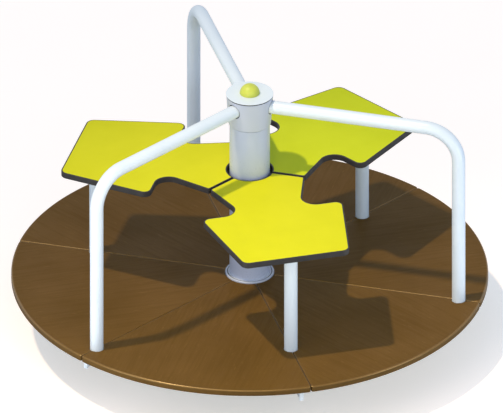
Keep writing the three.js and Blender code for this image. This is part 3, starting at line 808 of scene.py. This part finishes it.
def build_seat_ring():
    low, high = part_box("seat_ring")
    bore, sleeve, thick = COLUMN_RADIUS + GAP, COLUMN_RADIUS + 8 * MM + GAP, 6 * MM
    corners = [
        (bore, low.z, 0.6 * MM),
        (sleeve, low.z, 1.2 * MM),
        (sleeve, high.z - thick, 3 * MM),
        (high.y, high.z - thick, 1.2 * MM),
        (high.y, high.z, 1.2 * MM),
        (bore, high.z, 0),
    ]
    ring = lathe([tuple(p) for p in round_corners(corners, COARSE_STEP)])
    # The ring is coated dark grey as painted shade, so the gaps between the seats and the column read
    # dark.
    mesh = dressed("seat_ring", [ring], (PAINTED_SHADE_GREY,))
    piece("seat_ring_flange", mesh, ["seat_ring"], "rotor")


def build_base():
    """A plate with four anchor holes, and a boss on it that four gussets hold."""
    low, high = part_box("ground_base")
    thick, boss, bore = 12 * MM, 55 * MM, 30.3 * MM
    anchor_reach, anchor_hole = 145 * MM, 9 * MM
    plate = round_plate(high.x, low.z, low.z + thick, 1.6 * MM)
    hole = bar(anchor_hole, -MM, thick + MM, TUBE_SIDES)
    holes = [turned(shifted(hole, anchor_reach), angle) for angle in (45, 135, 225, 315)]
    drilled_plate = drilled(dressed("base_plate", [plate], (ZINC,)), holes)
    piece("ground_plate", drilled_plate, ["ground_base"], "base")
    root, toe, toe_height, head_height = boss - 2 * MM, 152 * MM, 8 * MM, 74 * MM
    outline = [
        (root, thick),
        (toe, thick),
        (toe, thick + toe_height),
        (boss + 4 * MM, head_height),
        (root, head_height),
    ]
    half_wall = 4 * MM
    gusset = shell([[(x, y, z) for x, z in outline] for y in (half_wall, -half_wall)])
    parts = [turned(gusset, angle) for angle in (0, 90, 180, 270)]
    parts.append(ring_part(bore, boss, thick, high.z, 1.2 * MM))
    parts.append(bead(boss, thick, 5 * MM))
    mesh = dressed("ground_boss", parts, (ZINC,))
    piece("ground_boss", mesh, ["ground_base"], "base", bevel=0.8 * MM)


def fastener_mesh(name, head_radius, head_thick, shank_radius, length):
    """A bolt that points up, with its washer's upper face at the origin and its head below it."""
    washer_thick, washer_radius = 1.6 * MM, head_radius * 1.18
    chamfer, chamfer_height = 0.86, 0.9 * MM
    hexagon = arc(1, 0, 2 * math.pi, 6)[:-1]
    levels = [(chamfer, -head_thick), (1.0, -head_thick + chamfer_height), (1.0, -washer_thick)]
    head = shell([[(*(p * head_radius * share), z) for p in hexagon] for share, z in levels])
    washer = round_plate(washer_radius, -washer_thick, 0, 0.3 * MM, 2, 32)
    shank = bar(shank_radius, -MM, length, 24)
    return dressed(name, [head, washer, shank], (PLATED,))


def build_fasteners():
    m12_bolt = fastener_mesh("m12_bolt", 11 * MM, 7.5 * MM, 5.8 * MM, 20 * MM)
    m8_bolt = fastener_mesh("m8_bolt", 7.5 * MM, 5.5 * MM, 3.8 * MM, 17 * MM)
    m6_screw = fastener_mesh("m6_screw", 5.8 * MM, 4 * MM, 2.8 * MM, 19 * MM)
    kinds = {
        "handrail_bolt": (3, m12_bolt),
        "seat_post_bolt": (3, m12_bolt),
        "seat_bolt_outer": (6, m8_bolt),
        "seat_bolt_inner": (3, m8_bolt),
        "deck_screw": (12, m6_screw),
    }
    for stem, (count, mesh) in kinds.items():
        for k in range(1, count + 1):
            node = f"{stem}_{k}"
            low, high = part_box(node)
            lowest = min(v.co.z for v in mesh.vertices)
            middle = (low + high) / 2
            obj = piece(f"{node}_set", mesh, [node], "rotor")
            obj.matrix_basis = Matrix.Translation((middle.x, middle.y, low.z - lowest))


def dress_hidden_nodes():
    """The pieces inside the hub keep their CAD shape and get finished materials."""
    materials = {"zinc": PLATED, "bearing_steel": STEEL, "rubber": RUBBER}
    slots = {entry["node"]: entry["material_slot"] for entry in frame["record"]["subparts"]}
    for node, obj in frame["nodes"].items():
        if obj.hide_render:
            continue
        obj.data.materials.clear()
        obj.data.materials.append(materials[slots[node]])


# ---- stage, light and camera ----
def floor_material():
    """Pale floor. To the camera its lit part is white and its shadow a neutral grey."""
    look = Look("pale_floor", built=False)
    seen = look.node("ShaderNodeLightPath").outputs["Is Camera Ray"]
    clouds = look.span(look.noise(2, 3), 0.3, 0.7)
    plain = look.mix(clouds, colour(240, 240, 240), colour(237, 237, 238))
    balanced = look.mix(clouds, (0.90, 0.72, 0.68, 1), (0.89, 0.71, 0.67, 1))
    return look.finish(
        Base_Color=look.mix(seen, plain, balanced),
        Roughness=0.9,
        Specular_IOR_Level=0.0,
        Emission_Color=(0.45, 0.475, 0.465, 1),
        Emission_Strength=seen,
    )


def build_stage():
    half, height = 30, -0.5 * MM
    corners = [(-half, -half), (half, -half), (half, half), (-half, half)]
    square = ([Vector((x, y, height)) for x, y in corners], [(0, 1, 2, 3)], [0])
    floor = bpy.data.objects.new("floor", dressed("floor", [square], (floor_material(),)))
    bpy.context.scene.collection.objects.link(floor)


def as_seen(right, ahead, up=0.0):
    """A vector from its parts to the right of the camera, ahead of it and up."""
    return CAMERA_RIGHT * right + CAMERA_AHEAD * ahead + Vector((0, 0, up))


def aim(obj, place, direction):
    """Puts a lamp or camera at a place and points it along a direction."""
    obj.location = place
    obj.rotation_mode = "QUATERNION"
    obj.rotation_quaternion = direction.to_track_quat("-Z", "Y")
    bpy.context.scene.collection.objects.link(obj)


def lamp(name, place, size, energy, tint):
    """A soft square lamp that faces the object and stays out of the picture."""
    obj = bpy.data.objects.new(name, bpy.data.lights.new(name, "AREA"))
    obj.data.shape = "RECTANGLE"
    obj.data.size = obj.data.size_y = size
    obj.data.energy = energy
    obj.data.color = tint
    obj.visible_camera = False
    spot = as_seen(*place)
    aim(obj, spot, LAMP_TARGET - spot)


def build_light():
    """A sun from the upper left, a brighter pool of its light in front, and three soft lamps.

    The pool is a spot so far away that its light falls as the sun's does.
    """
    falling = as_seen(*SUN_DRIFT, -1)
    sun = bpy.data.objects.new("sun", bpy.data.lights.new("sun", "SUN"))
    sun.data.energy = SUN_STRENGTH
    sun.data.angle = SUN_SPREAD
    sun.data.color = SUNLIGHT
    aim(sun, Vector((0, 0, 3)), falling)
    pool = bpy.data.objects.new("pool", bpy.data.lights.new("pool", "SPOT"))
    pool.data.energy = (2 * math.pi * POOL_REACH) ** 2 * POOL_STRENGTH
    pool.data.color = SUNLIGHT
    pool.data.shadow_soft_size = POOL_REACH * math.tan(SUN_SPREAD / 2)
    pool.data.spot_size = 2 * math.atan(POOL_RADIUS / POOL_REACH)
    pool.data.spot_blend = 1.0
    aim(pool, as_seen(*POOL_PLACE) - falling.normalized() * POOL_REACH, falling)
    for name, settings in LAMPS.items():
        lamp(name, *settings)


def build_sky():
    """An even, slightly cool sky that the camera sees as white."""
    sky = bpy.data.worlds.new("sky")
    sky.use_nodes = True
    tree = sky.node_tree
    background = tree.nodes["Background"]
    path = tree.nodes.new("ShaderNodeLightPath")
    seen = tree.nodes.new("ShaderNodeMath")
    seen.operation = "MULTIPLY_ADD"
    seen.inputs[1].default_value = SKY_IN_REFLECTIONS
    tint = tree.nodes.new("ShaderNodeMix")
    tint.data_type = "RGBA"
    tint.inputs[6].default_value = SKY
    tint.inputs[7].default_value = SKY_SEEN
    tree.links.new(path.outputs["Is Glossy Ray"], seen.inputs[0])
    tree.links.new(path.outputs["Is Camera Ray"], seen.inputs[2])
    tree.links.new(seen.outputs[0], tint.inputs[0])
    tree.links.new(tint.outputs[2], background.inputs["Color"])
    bpy.context.scene.world = sky


def build_camera():
    """The view is a parallel projection from 30 degrees above the horizon."""
    data = bpy.data.cameras.new("camera")
    data.type = "ORTHO"
    data.ortho_scale = FRAME_WIDTH
    data.clip_start, data.clip_end = 0.1, CAMERA_DISTANCE * 10
    back = -CAMERA_AHEAD * math.cos(VIEW_ELEVATION) + Vector((0, 0, math.sin(VIEW_ELEVATION)))
    image_up = CAMERA_AHEAD * math.sin(VIEW_ELEVATION) + Vector((0, 0, math.cos(VIEW_ELEVATION)))
    right, up = FRAME_SHIFT
    target = Vector((0, 0, DECK_HIGH)) + CAMERA_RIGHT * right + image_up * up
    camera = bpy.data.objects.new("camera", data)
    aim(camera, target + back * CAMERA_DISTANCE, -back)
    bpy.context.scene.camera = camera


build_deck()
build_seats()
build_seat_posts()
build_handrails()
build_column()
build_collar()
build_head()
build_cap()
build_frame()
build_seat_ring()
build_base()
build_fasteners()
dress_hidden_nodes()
build_stage()
build_light()
build_sky()
build_camera()
bpy.context.scene.view_settings.view_transform = "Standard"
